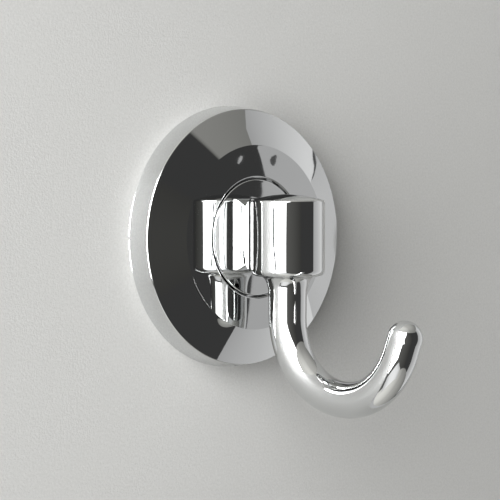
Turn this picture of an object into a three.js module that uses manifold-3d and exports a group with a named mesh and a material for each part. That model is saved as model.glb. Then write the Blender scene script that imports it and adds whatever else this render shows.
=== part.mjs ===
// Wall hook: a robe hook with a round bevelled rose, an upright barrel and a J-shaped arm,
// on a concealed bracket.
// Millimetres, +Z up. The wall is the plane Y = 0 and the hook stands out of it towards -Y.
// The origin is the centre of the bracket's back face, on the wall. "Depth" means distance out from the wall.
import * as THREE from 'three';
import { ParametricGeometry } from 'three/addons/geometries/ParametricGeometry.js';
import { mergeVertices } from 'three/addons/utils/BufferGeometryUtils.js';
import Module from 'manifold-3d';

const wasm = await Module();
wasm.setup();

// Fits
const FIT_GAP = 0.15;        // radial play of a piece in its hole
const SEAT_GAP = 0.3;        // play between pieces that locate each other across the wall joint
const JOINT_GAP = 0.05;      // the hairline between two pieces that are pulled together
const CUT_PAST = 1;          // how far a cutting shape runs out of the piece that it cuts

// Rose
const ROSE_BACK_RADIUS = 27.5;
const RIM_TAPER = 0.75;      // how much smaller the rim is at its front edge
const RIM_DEPTH = 4.85;
const RIM_EDGE_RADIUS = 0.45;
const BEVEL_INNER_RADIUS = 19.15;
const ROSE_WALL = 1.8;
const WEB_THICKNESS = 1.4;   // the web behind the hub disc that the screw clamps
const WEB_COLLAR_WALL = 1.9;

// Hub disc with its upright post
const HUB_RADIUS = 12.2;
const HUB_THICKNESS = 1.7;
const HUB_EDGE_RADIUS = 0.35;
const POST_WIDTH = 6.1;
const POST_END_MARGIN = 1.7; // how far the post stops short of each end of the barrel
const POST_CORNER_RADIUS = 2;
const SPIGOT_RADIUS = 6;

// Barrel
const BARREL_STANDOFF = 1.55; // between the rose's face and the back of the barrel
const BARREL_RADIUS = 7.55;
const BARREL_LENGTH = 16.65;
const BARREL_CENTRE_HEIGHT = 0.675;
const BARREL_EDGE_RADIUS = 1.5;
const POST_SLOT_MARGIN = 0.15;

// Arm: straight drop, a quarter ellipse out, an arc up and a short straight end
const ARM_DROP = 8.4;
const ARM_REACH = 16.25;
const ARM_SAG = 15.4;
const ARM_RISE_RADIUS = 15.95;
const ARM_RISE_ANGLE = 69.3;
const ARM_END_LENGTH = 3.1;
const ARM_ROOT_RADIUS = 3.95;
const ARM_BEND_RADIUS = 3.65;
const ARM_TIP_RADIUS = 3.45;
const COLLAR_RADIUS = 5.6;
const COLLAR_HEIGHT = 3.8;

// Stud between arm and barrel
const STUD_RADIUS = 2.5;
const STUD_IN_BARREL = 4;
const STUD_IN_ARM = 4.4;
const STUD_CHAMFER = 0.5;
const STUD_SOCKET_FLATS = 2.5;
const STUD_SOCKET_DEPTH = 2;

// Screw from behind with its washers, and the pin that stops the hub disc turning in the rose
const SCREW_RADIUS = 2;
const SCREW_HEAD_RADIUS = 3.8;
const SCREW_HEAD_HEIGHT = 1.5;
const SCREW_SOCKET_FLATS = 3;
const SCREW_SOCKET_DEPTH = 1;
const SCREW_PAST_AXIS = 0.8;
const SCREW_TIP_CHAMFER = 0.5;
const SCREW_HEAD_CLEARANCE = 0.5; // between the screw's head and the bracket
const TAPPED_RUN_OUT = 0.7;
const FLAT_WASHER_RADIUS = 8.6;
const FLAT_WASHER_THICKNESS = 0.6;
const SPRING_WASHER_RADIUS = 3.9;
const SPRING_WASHER_THICKNESS = 0.9;
const SPRING_WASHER_SPLIT = 0.9;
const PIN_RADIUS = 0.6;
const PIN_IN_HUB = 0.9;
const PIN_IN_WEB = 0.8;

// Bracket on the wall
const BRACKET_THICKNESS = 1.5;
const BRACKET_RIM_HEIGHT = 4;
const BRACKET_RIM_THICKNESS = 1.5;
const BRACKET_FOLD_RADIUS = 1;
const SLOT_EDGE_DISTANCE = 8.5; // from the bracket's edge to a slot's middle
const SLOT_LENGTH = 9;

// Grub screw under the rim, its boss and the two lugs that centre the rose on the bracket
const GRUB_RADIUS = 1.5;
const GRUB_RECESS = 0.3;
const GRUB_SOCKET_FLATS = 1.5;
const GRUB_SOCKET_DEPTH = 1.6;
const GRUB_POINT_CHAMFER = 0.6;
const BOSS_WIDTH = 7;
const BOSS_BACK_DEPTH = 0.4;
const LUG_REACH = 2.15;      // how far boss and lugs stand in from the rim's inner wall
const LUG_WIDTH = 3;
const LUG_TURN = 120;

// Wall screws and plugs
const WALL_SCREW_RADIUS = 1.75;
const WALL_SCREW_LENGTH = 25;
const WALL_SCREW_POINT = 5;
const WALL_SCREW_HEAD_RADIUS = 3.7;
const WALL_SCREW_HEAD_HEIGHT = 2;
const WALL_SCREW_HEAD_EDGE = 0.5; // height of the head's straight edge under its dome
const CROSS_WIDTH = 0.9;
const CROSS_LENGTH = 3.6;
const CROSS_DEPTH = 1.1;
const PLUG_RADIUS = 3;
const PLUG_LIP_RADIUS = 3.6;
const PLUG_LIP_LENGTH = 0.8;
const PLUG_LENGTH = 26;
const PLUG_TIP_RADIUS = 2.5;
const PLUG_RIB_COUNT = 6;
const PLUG_RIB_HEIGHT = 0.3;
const PLUG_RIB_RUN = 0.65;   // share of the plug's length that carries ribs
const PLUG_SLIT_WIDTH = 0.8;
const PLUG_SLIT_LENGTH = 17;

// Facets
const ROUND_LARGE = 60;
const ROUND_MEDIUM = 40;
const ROUND_SMALL = 20;
const ARC_STEPS = 4;

// What follows from the sizes above
const rimFrontRadius = ROSE_BACK_RADIUS - RIM_TAPER;
const innerRimRadius = rimFrontRadius - ROSE_WALL;
const grubTipRadius = innerRimRadius - LUG_REACH;
const grubDepth = RIM_DEPTH / 2;
const bracketRadius = grubTipRadius - SEAT_GAP;
const slotSpacing = 2 * (bracketRadius - SLOT_EDGE_DISTANCE);
const screwHeadBack = BRACKET_THICKNESS + SCREW_HEAD_CLEARANCE;
const springWasherBack = screwHeadBack + SCREW_HEAD_HEIGHT;
const flatWasherBack = springWasherBack + SPRING_WASHER_THICKNESS;
const webBackDepth = flatWasherBack + FLAT_WASHER_THICKNESS;
const hubSeatDepth = webBackDepth + WEB_THICKNESS;
const faceDepth = hubSeatDepth + HUB_THICKNESS;
const barrelAxisDepth = faceDepth + BARREL_STANDOFF + BARREL_RADIUS;
const screwTipDepth = barrelAxisDepth + SCREW_PAST_AXIS;
const barrelTop = BARREL_CENTRE_HEIGHT + BARREL_LENGTH / 2;
const barrelBottom = BARREL_CENTRE_HEIGHT - BARREL_LENGTH / 2;
const postSlotHalf = POST_WIDTH / 2 + FIT_GAP + POST_SLOT_MARGIN;
const postSlotDepth = barrelAxisDepth - Math.sqrt(BARREL_RADIUS ** 2 - postSlotHalf ** 2);
const postEndDepth = postSlotDepth - JOINT_GAP;
const armTop = barrelBottom - JOINT_GAP;

// Materials
const chrome = new THREE.MeshStandardMaterial({ color: 0xd9dbdd, roughness: 0.04, metalness: 1 });
const zincPlate = new THREE.MeshStandardMaterial({ color: 0xb4b6b2, roughness: 0.35, metalness: 1 });
const steel = new THREE.MeshStandardMaterial({ color: 0x9c9ea0, roughness: 0.3, metalness: 1 });
const blackSteel = new THREE.MeshStandardMaterial({ color: 0x3a3b3d, roughness: 0.45, metalness: 1 });
const nylon = new THREE.MeshStandardMaterial({ color: 0xc9c7bf, roughness: 0.6, metalness: 0 });

// Geometry helpers

// A closed solid for joining and cutting, from a three.js geometry.
function solid(geometry) {
  const bare = geometry.index ? geometry.toNonIndexed() : geometry.clone();
  bare.deleteAttribute('normal');
  bare.deleteAttribute('uv');
  const merged = mergeVertices(bare, 1e-5);
  const kept = [];
  const index = merged.index.array;
  for (let i = 0; i < index.length; i += 3) {
    const [a, b, c] = [index[i], index[i + 1], index[i + 2]];
    if (a !== b && b !== c && c !== a) {
      kept.push(a, b, c);
    }
  }
  const mesh = new wasm.Mesh({
    numProp: 3,
    vertProperties: new Float32Array(merged.attributes.position.array),
    triVerts: new Uint32Array(kept),
  });
  const made = new wasm.Manifold(mesh);
  return made.volume() > 0 ? made : new wasm.Manifold(flipped(mesh));
}

// The same mesh with its faces turned round.
function flipped(mesh) {
  const triVerts = new Uint32Array(mesh.triVerts);
  for (let i = 0; i < triVerts.length; i += 3) {
    const held = triVerts[i];
    triVerts[i] = triVerts[i + 1];
    triVerts[i + 1] = held;
  }
  return new wasm.Mesh({ numProp: 3, vertProperties: mesh.vertProperties, triVerts });
}

// Back from a joined or cut solid to a geometry.
function geometryOf(body) {
  const mesh = body.getMesh();
  const geometry = new THREE.BufferGeometry();
  geometry.setAttribute('position', new THREE.BufferAttribute(new Float32Array(mesh.vertProperties), 3));
  geometry.setIndex(new THREE.BufferAttribute(new Uint32Array(mesh.triVerts), 1));
  geometry.computeVertexNormals();
  return geometry;
}

// A turned piece on an axis square to the wall: each point of its outline is [radius, depth].
function turned(outline, segments) {
  return solid(new THREE.LatheGeometry(outline.map(([r, depth]) => new THREE.Vector2(r, -depth)), segments));
}

// A turned piece on an upright axis at the given depth: each point of its outline is [radius, height].
function turnedUpright(outline, segments, depth) {
  const points = outline.map(([r, height]) => new THREE.Vector2(r, height));
  return solid(new THREE.LatheGeometry(points, segments).rotateX(Math.PI / 2).translate(0, -depth, 0));
}

// A plain round bar square to the wall, between two depths.
function roundBar(radius, back, front) {
  return turned([[0, back], [radius, back], [radius, front], [0, front]], ROUND_SMALL);
}

// A plain round bar on an upright axis at the given depth, between two heights.
function uprightBar(radius, bottom, top, depth) {
  return turnedUpright([[0, bottom], [radius, bottom], [radius, top], [0, top]], ROUND_SMALL, depth);
}

// A ring-shaped outline: the list closes on itself.
function ring(outline) {
  return [...outline, outline[0]];
}

// The points of a circular arc in an outline, by its centre, radius and two angles in degrees.
function arc(centreR, centreH, radius, from, to) {
  return Array.from({ length: ARC_STEPS + 1 }, (unused, i) => {
    const angle = THREE.MathUtils.degToRad(from + ((to - from) * i) / ARC_STEPS);
    return [centreR + radius * Math.cos(angle), centreH + radius * Math.sin(angle)];
  });
}

// A box between two corners.
function block([x0, y0, z0], [x1, y1, z1]) {
  const box = new THREE.BoxGeometry(x1 - x0, y1 - y0, z1 - z0);
  return box.translate((x0 + x1) / 2, (y0 + y1) / 2, (z0 + z1) / 2);
}

// A hexagonal socket along +Z from height 0, by its width across flats.
function socket(flats, length) {
  return new THREE.CylinderGeometry(flats / Math.sqrt(3), flats / Math.sqrt(3), length, 6).rotateX(Math.PI / 2)
    .translate(0, 0, length / 2);
}

function named(name, body, material) {
  const mesh = new THREE.Mesh(geometryOf(body), material);
  mesh.name = name;
  return mesh;
}

// The rose: tapered rim, cone bevel and flat face over a hollow back, with a seat and web for the hub disc.
function rose() {
  const bevelSlope = Math.atan2(faceDepth - RIM_DEPTH, rimFrontRadius - BEVEL_INNER_RADIUS);
  const bevelDrop = ROSE_WALL / Math.cos(bevelSlope);
  const ceilingDepth = faceDepth - ROSE_WALL;
  const innerBevel = (r) => RIM_DEPTH - bevelDrop + (rimFrontRadius - r) * Math.tan(bevelSlope);
  const ceilingRadius = rimFrontRadius - (ceilingDepth - RIM_DEPTH + bevelDrop) / Math.tan(bevelSlope);
  const hubHole = HUB_RADIUS + FIT_GAP;
  const webCollar = hubHole + WEB_COLLAR_WALL;
  const bevelAngle = THREE.MathUtils.radToDeg(bevelSlope);
  const rimEdge = arc(rimFrontRadius - RIM_EDGE_RADIUS, RIM_DEPTH - RIM_EDGE_RADIUS * Math.tan(bevelSlope / 2),
    RIM_EDGE_RADIUS, 0, 90 - bevelAngle);
  const shell = turned(ring([
    [ROSE_BACK_RADIUS, 0],
    ...rimEdge,
    [BEVEL_INNER_RADIUS, faceDepth],
    [hubHole, faceDepth],
    [hubHole, hubSeatDepth],
    [SPIGOT_RADIUS + FIT_GAP, hubSeatDepth],
    [SPIGOT_RADIUS + FIT_GAP, webBackDepth],
    [webCollar, webBackDepth],
    [webCollar, ceilingDepth],
    [ceilingRadius, ceilingDepth],
    [innerRimRadius, innerBevel(innerRimRadius)],
    [ROSE_BACK_RADIUS - ROSE_WALL, 0],
  ]), ROUND_LARGE);
  const pad = (width) => block([-width / 2, -RIM_DEPTH, -innerRimRadius - ROSE_WALL / 2],
    [width / 2, -BOSS_BACK_DEPTH, -grubTipRadius]);
  const lugs = [-1, 1].map((side) => pad(LUG_WIDTH).rotateY(THREE.MathUtils.degToRad(side * LUG_TURN)));
  const bossed = [pad(BOSS_WIDTH), ...lugs].reduce((body, piece) => body.add(solid(piece)), shell);
  const hole = uprightBar(GRUB_RADIUS + FIT_GAP, -ROSE_BACK_RADIUS - CUT_PAST, -bracketRadius, grubDepth);
  return named('rose', bossed.subtract(hole).subtract(pinHole()), chrome);
}

// An upright oblong on the barrel's middle height, between two depths, with round corners and grown all round
// by a clearance.
function postBar(grow, back, front) {
  const half = POST_WIDTH / 2 + grow;
  const halfHeight = BARREL_LENGTH / 2 - POST_END_MARGIN + grow;
  const corner = POST_CORNER_RADIUS + grow;
  const outline = new THREE.Shape();
  const turns = [[1, 1], [-1, 1], [-1, -1], [1, -1]];
  turns.forEach(([x, z], i) => outline.absarc(x * (half - corner), z * (halfHeight - corner), corner,
    (i * Math.PI) / 2, ((i + 1) * Math.PI) / 2, false));
  const settings = { depth: front - back, bevelEnabled: false, curveSegments: ARC_STEPS };
  const bar = new THREE.ExtrudeGeometry(outline, settings);
  return solid(bar.rotateX(Math.PI / 2).translate(0, -back, BARREL_CENTRE_HEIGHT));
}

// The hub disc lies in the rose's seat. Its upright post carries the barrel, and its spigot passes through
// the web.
function hubPost() {
  const disc = turned([
    [0, webBackDepth + FIT_GAP],
    [SPIGOT_RADIUS, webBackDepth + FIT_GAP],
    [SPIGOT_RADIUS, hubSeatDepth],
    [HUB_RADIUS, hubSeatDepth],
    ...arc(HUB_RADIUS - HUB_EDGE_RADIUS, faceDepth - HUB_EDGE_RADIUS, HUB_EDGE_RADIUS, 0, 90),
    [0, faceDepth],
  ], ROUND_LARGE);
  const bore = roundBar(SCREW_RADIUS + FIT_GAP, webBackDepth, postSlotDepth);
  const body = disc.add(postBar(0, hubSeatDepth, postEndDepth));
  return named('hub_post', body.subtract(bore).subtract(pinHole()), chrome);
}

// Where the pin stands: above the spigot, halfway to the disc's edge.
function pinPlace(body) {
  return body.translate([0, 0, (SPIGOT_RADIUS + HUB_RADIUS) / 2]);
}

// Room for the pin, in the rose's web and in the back of the hub disc.
function pinHole() {
  const back = hubSeatDepth - PIN_IN_WEB - SEAT_GAP;
  const front = hubSeatDepth + PIN_IN_HUB + SEAT_GAP;
  return pinPlace(roundBar(PIN_RADIUS + FIT_GAP, back, front));
}

// The barrel: rounded at both ends, slotted at the back for the post, tapped for the screw and, from below,
// for the stud.
function barrel() {
  const edge = BARREL_RADIUS - BARREL_EDGE_RADIUS;
  const body = turnedUpright([
    [0, barrelBottom],
    ...arc(edge, barrelBottom + BARREL_EDGE_RADIUS, BARREL_EDGE_RADIUS, -90, 0),
    ...arc(edge, barrelTop - BARREL_EDGE_RADIUS, BARREL_EDGE_RADIUS, 0, 90),
    [0, barrelTop],
  ], ROUND_MEDIUM, barrelAxisDepth);
  const tapped = roundBar(SCREW_RADIUS + FIT_GAP, faceDepth, screwTipDepth + TAPPED_RUN_OUT);
  const slot = postBar(FIT_GAP, faceDepth, postSlotDepth);
  return named('barrel', body.subtract(slot).subtract(tapped).subtract(studHole()), chrome);
}

// Room for the stud, in the barrel's underside and in the arm's top.
function studHole() {
  const top = barrelBottom + STUD_IN_BARREL + FIT_GAP;
  const bottom = barrelBottom - STUD_IN_ARM - FIT_GAP;
  return uprightBar(STUD_RADIUS + FIT_GAP, bottom, top, barrelAxisDepth);
}

// The arm's centre line, in depth and height.
function armLine() {
  const dropEnd = armTop - ARM_DROP;
  const lowest = dropEnd - ARM_SAG;
  const line = new THREE.Path();
  line.moveTo(barrelAxisDepth, armTop);
  line.lineTo(barrelAxisDepth, dropEnd);
  line.absellipse(barrelAxisDepth + ARM_REACH, dropEnd, ARM_REACH, ARM_SAG, Math.PI, 1.5 * Math.PI, false, 0);
  const riseEnd = 1.5 * Math.PI + THREE.MathUtils.degToRad(ARM_RISE_ANGLE);
  line.absarc(barrelAxisDepth + ARM_REACH, lowest + ARM_RISE_RADIUS, ARM_RISE_RADIUS, 1.5 * Math.PI, riseEnd,
    false);
  const last = line.currentPoint;
  const tangent = new THREE.Vector2(-Math.sin(riseEnd), Math.cos(riseEnd));
  line.lineTo(last.x + tangent.x * ARM_END_LENGTH, last.y + tangent.y * ARM_END_LENGTH);
  return line;
}

// The arm's radius at a share of its length: it thins from root to bend to tip, and flares into a collar at
// the top.
function armRadius(share, length) {
  const bend = share < 0.5;
  const plain = bend ? THREE.MathUtils.lerp(ARM_ROOT_RADIUS, ARM_BEND_RADIUS, share * 2)
    : THREE.MathUtils.lerp(ARM_BEND_RADIUS, ARM_TIP_RADIUS, share * 2 - 1);
  const left = Math.max(0, 1 - (share * length) / COLLAR_HEIGHT);
  const flare = 1 - Math.sqrt(1 - left ** 2);
  return plain + (COLLAR_RADIUS - ARM_ROOT_RADIUS) * flare;
}

// The arm: round sections along its line, closed by a flat top and a round tip.
function hookArm() {
  const line = armLine();
  const length = line.getLength();
  const collarSteps = ARC_STEPS + 1;
  const collarShares = Array.from({ length: collarSteps + 1 }, (unused, i) => (
    ((i / collarSteps) ** 2 * COLLAR_HEIGHT) / length));
  const steps = ROUND_MEDIUM;
  const restShares = Array.from({ length: steps }, (unused, i) => {
    const start = COLLAR_HEIGHT / length;
    return start + ((1 - start) * (i + 1)) / steps;
  });
  const stations = [{ share: 0, radius: 0, ahead: 0 }];
  for (const share of [...collarShares, ...restShares]) {
    stations.push({ share, radius: armRadius(share, length), ahead: 0 });
  }
  for (const [radius, ahead] of arc(0, 0, ARM_TIP_RADIUS, 0, 90).slice(1)) {
    stations.push({ share: 1, radius, ahead });
  }
  const rings = stations.map(({ share, radius, ahead }) => {
    const tangent = line.getTangentAt(share);
    const centre = line.getPointAt(share).addScaledVector(tangent, ahead);
    return { centre, normal: new THREE.Vector2(-tangent.y, tangent.x), radius };
  });
  const surface = (u, v, target) => {
    const { centre, normal, radius } = rings[Math.round(v * (rings.length - 1))];
    const turn = u * 2 * Math.PI;
    const side = radius * Math.sin(turn);
    target.set(radius * Math.cos(turn), -(centre.x + normal.x * side), centre.y + normal.y * side);
  };
  const rod = solid(new ParametricGeometry(surface, ROUND_SMALL + ARC_STEPS, rings.length - 1));
  return named('hook_arm', rod.subtract(studHole()), chrome);
}

// The stud: half in the barrel, half in the arm, driven by a hexagonal socket in its lower end.
function armStud() {
  const top = barrelBottom + STUD_IN_BARREL;
  const bottom = barrelBottom - STUD_IN_ARM;
  const body = turnedUpright([
    [0, bottom],
    [STUD_RADIUS - STUD_CHAMFER, bottom],
    [STUD_RADIUS, bottom + STUD_CHAMFER],
    [STUD_RADIUS, top - STUD_CHAMFER],
    [STUD_RADIUS - STUD_CHAMFER, top],
    [0, top],
  ], ROUND_SMALL, barrelAxisDepth);
  const drive = socket(STUD_SOCKET_FLATS, STUD_SOCKET_DEPTH * 2)
    .translate(0, -barrelAxisDepth, bottom - STUD_SOCKET_DEPTH);
  return named('arm_stud', body.subtract(solid(drive)), steel);
}

// The screw from behind: a low head with a socket, and a shank into the barrel.
function barrelScrew() {
  const body = turned([
    [0, screwHeadBack],
    [SCREW_HEAD_RADIUS, screwHeadBack],
    [SCREW_HEAD_RADIUS, springWasherBack],
    [SCREW_RADIUS, springWasherBack],
    [SCREW_RADIUS, screwTipDepth - SCREW_TIP_CHAMFER],
    [SCREW_RADIUS - SCREW_TIP_CHAMFER, screwTipDepth],
    [0, screwTipDepth],
  ], ROUND_SMALL);
  const drive = socket(SCREW_SOCKET_FLATS, SCREW_SOCKET_DEPTH * 2).rotateX(Math.PI / 2)
    .translate(0, -screwHeadBack + SCREW_SOCKET_DEPTH, 0);
  return named('barrel_screw', body.subtract(solid(drive)), steel);
}

// A flat ring between two depths.
function washer(outer, back, front, segments) {
  const bore = SCREW_RADIUS + FIT_GAP;
  return turned(ring([[bore, back], [outer, back], [outer, front], [bore, front]]), segments);
}

function flatWasher() {
  return named('flat_washer', washer(FLAT_WASHER_RADIUS, flatWasherBack, webBackDepth, ROUND_MEDIUM), steel);
}

function springWasher() {
  const body = washer(SPRING_WASHER_RADIUS, springWasherBack, flatWasherBack, ROUND_SMALL);
  const split = block([-SPRING_WASHER_SPLIT / 2, -flatWasherBack - CUT_PAST, 0],
    [SPRING_WASHER_SPLIT / 2, -springWasherBack + CUT_PAST, SPRING_WASHER_RADIUS + CUT_PAST]);
  return named('spring_washer', body.subtract(solid(split)), steel);
}

function locatingPin() {
  const body = roundBar(PIN_RADIUS, hubSeatDepth - PIN_IN_WEB, hubSeatDepth + PIN_IN_HUB);
  return named('locating_pin', pinPlace(body), steel);
}

// The bracket: a round pressed plate with a rim turned forward and two upright slots.
function wallBracket() {
  const inner = bracketRadius - BRACKET_RIM_THICKNESS;
  const plate = turned([
    [0, 0],
    ...arc(bracketRadius - BRACKET_FOLD_RADIUS, BRACKET_FOLD_RADIUS, BRACKET_FOLD_RADIUS, -90, 0),
    [bracketRadius, BRACKET_RIM_HEIGHT],
    [inner, BRACKET_RIM_HEIGHT],
    [inner, BRACKET_THICKNESS],
    [0, BRACKET_THICKNESS],
  ], ROUND_LARGE);
  const slotRadius = WALL_SCREW_RADIUS + SEAT_GAP * 2;
  const straight = SLOT_LENGTH / 2 - slotRadius;
  const outline = new THREE.Shape();
  outline.absarc(0, straight, slotRadius, 0, Math.PI, false);
  outline.absarc(0, -straight, slotRadius, Math.PI, 2 * Math.PI, false);
  const slot = (side) => solid(new THREE.ExtrudeGeometry(outline,
    { depth: BRACKET_THICKNESS + 2 * CUT_PAST, bevelEnabled: false, curveSegments: ROUND_SMALL / 2 })
    .rotateX(Math.PI / 2).translate((side * slotSpacing) / 2, CUT_PAST, 0));
  return named('wall_bracket', plate.subtract(slot(-1)).subtract(slot(1)), zincPlate);
}

// The grub screw in the underside of the rim: socket outwards, chamfered point towards the bracket's rim.
function grubScrew() {
  const rimRadius = ROSE_BACK_RADIUS - (RIM_TAPER * grubDepth) / RIM_DEPTH;
  const bottom = -rimRadius + GRUB_RECESS;
  const top = -grubTipRadius;
  const body = turnedUpright([
    [0, bottom],
    [GRUB_RADIUS, bottom],
    [GRUB_RADIUS, top - GRUB_POINT_CHAMFER],
    [GRUB_RADIUS - GRUB_POINT_CHAMFER, top],
    [0, top],
  ], ROUND_SMALL, grubDepth);
  const drive = socket(GRUB_SOCKET_FLATS, GRUB_SOCKET_DEPTH * 2)
    .translate(0, -grubDepth, bottom - GRUB_SOCKET_DEPTH);
  return named('grub_screw', body.subtract(solid(drive)), blackSteel);
}

// A wall screw: domed head with a cross recess, shank and point. It reaches behind the wall plane.
function wallScrew(name, side) {
  const headTop = BRACKET_THICKNESS + WALL_SCREW_HEAD_HEIGHT;
  const tip = BRACKET_THICKNESS - WALL_SCREW_LENGTH;
  const domeStart = BRACKET_THICKNESS + WALL_SCREW_HEAD_EDGE;
  const dome = arc(0, 0, 1, 0, 90).map(([r, h]) => [r * WALL_SCREW_HEAD_RADIUS,
    domeStart + (headTop - domeStart) * h]);
  const body = turned([
    [0, tip],
    [WALL_SCREW_RADIUS, tip + WALL_SCREW_POINT],
    [WALL_SCREW_RADIUS, BRACKET_THICKNESS],
    [WALL_SCREW_HEAD_RADIUS, BRACKET_THICKNESS],
    ...dome.slice(0, -1),
    [0, headTop],
  ], ROUND_SMALL);
  const bars = [[CROSS_LENGTH, CROSS_WIDTH], [CROSS_WIDTH, CROSS_LENGTH]];
  const cut = bars.reduce((piece, [width, height]) => piece.subtract(solid(
    block([-width / 2, -headTop - CUT_PAST, -height / 2],
      [width / 2, -headTop + CROSS_DEPTH, height / 2]))), body);
  return named(name, cut.translate([(side * slotSpacing) / 2, 0, 0]), steel);
}

// A wall plug behind the bracket: lip, ribs that bite, a bore for the screw and a split end.
function wallPlug(name, side) {
  const bore = WALL_SCREW_RADIUS + FIT_GAP;
  const start = -SEAT_GAP;
  const end = start - PLUG_LENGTH;
  const ribsEnd = start - PLUG_LENGTH * PLUG_RIB_RUN;
  const ribPitch = (start - PLUG_LIP_LENGTH - ribsEnd) / PLUG_RIB_COUNT;
  const ribs = Array.from({ length: PLUG_RIB_COUNT }, (unused, i) => {
    const front = start - PLUG_LIP_LENGTH - i * ribPitch;
    return [[PLUG_RADIUS - PLUG_RIB_HEIGHT, front], [PLUG_RADIUS, front - ribPitch]];
  }).flat();
  const body = turned(ring([
    [bore, start],
    [PLUG_LIP_RADIUS, start],
    [PLUG_LIP_RADIUS, start - PLUG_LIP_LENGTH],
    ...ribs,
    [PLUG_RADIUS - PLUG_RIB_HEIGHT, ribsEnd],
    [PLUG_TIP_RADIUS, end],
    [bore, end],
  ]), ROUND_SMALL);
  const slit = block([-PLUG_SLIT_WIDTH / 2, -end - PLUG_SLIT_LENGTH, -PLUG_RADIUS - CUT_PAST],
    [PLUG_SLIT_WIDTH / 2, -end + CUT_PAST, PLUG_RADIUS + CUT_PAST]);
  return named(name, body.subtract(solid(slit)).translate([(side * slotSpacing) / 2, 0, 0]), nylon);
}

const wallHook = new THREE.Group();
wallHook.add(rose(), hubPost(), barrel(), hookArm(), armStud(), barrelScrew());
wallHook.add(flatWasher(), springWasher(), locatingPin(), wallBracket(), grubScrew());
for (const [end, side] of [['left', -1], ['right', 1]]) {
  wallHook.add(wallScrew(`wall_screw_${end}`, side), wallPlug(`wall_plug_${end}`, side));
}

export default wallHook;
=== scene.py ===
"""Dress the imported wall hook: bright chrome, the fixings behind it, a pale wall and soft studio light.

Sizes are millimetres in the part's frame: the wall is the plane Y = 0, the hook stands out towards -Y and
+Z is up. "Depth" is the distance out from the wall, so depth = -Y.
"""

from __future__ import annotations

import logging
from dataclasses import dataclass
from enum import Enum
from typing import Any, Sequence

import bpy
import numpy as np
from mathutils import Matrix

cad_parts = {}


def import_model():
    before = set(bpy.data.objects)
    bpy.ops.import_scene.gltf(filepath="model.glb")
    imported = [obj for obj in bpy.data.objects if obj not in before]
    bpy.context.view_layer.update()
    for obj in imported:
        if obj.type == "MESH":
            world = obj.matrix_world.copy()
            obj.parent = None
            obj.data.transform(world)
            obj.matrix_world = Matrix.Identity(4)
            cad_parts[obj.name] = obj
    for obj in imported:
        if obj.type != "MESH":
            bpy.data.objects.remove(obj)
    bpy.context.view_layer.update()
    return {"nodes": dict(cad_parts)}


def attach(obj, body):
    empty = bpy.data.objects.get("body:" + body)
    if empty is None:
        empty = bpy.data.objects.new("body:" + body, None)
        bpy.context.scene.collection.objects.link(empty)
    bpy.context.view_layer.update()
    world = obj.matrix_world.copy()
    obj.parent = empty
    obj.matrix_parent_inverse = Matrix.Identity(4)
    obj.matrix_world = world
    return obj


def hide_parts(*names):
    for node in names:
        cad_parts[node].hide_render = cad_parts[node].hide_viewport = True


log = logging.getLogger("wall_hook")

MM = 0.001
HOOK, BRACKET, GRUB = "hook", "bracket", "grub"

# A turned outline stops this far from its axis, and a cutting tool runs this far past the piece.
AXIS_RADIUS = 0.02
OVERRUN = 1.0
# Edges that turn by more degrees than this stay sharp.
SHARP_DEGREES = 32
# Points round a small turned piece.
SMALL_SEGMENTS = 72
# Rows of points to one turn of a thread, rows over which it fades in, and the share of the radius at its point.
ROWS_PER_TURN, FADE_ROWS, POINT_SHARE = 10, 8, 0.04
# Size of a finish's clouds in grains, and the levels of their noise between which roughness and colour wander.
CLOUD_GRAINS = 6
ROUGHNESS_LEVELS = (0.3, 0.7)
COLOUR_LEVELS = (0.35, 0.65)

Outline = np.ndarray
Corner = tuple[float, float, float]


class Axis(Enum):
    """The line a turned piece is turned about."""

    OUT = "square to the wall"
    UPRIGHT = "upright"


class Shaping(Enum):
    """How one solid works on another."""

    CUT = "DIFFERENCE"
    JOIN = "UNION"


# Shapes


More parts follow.
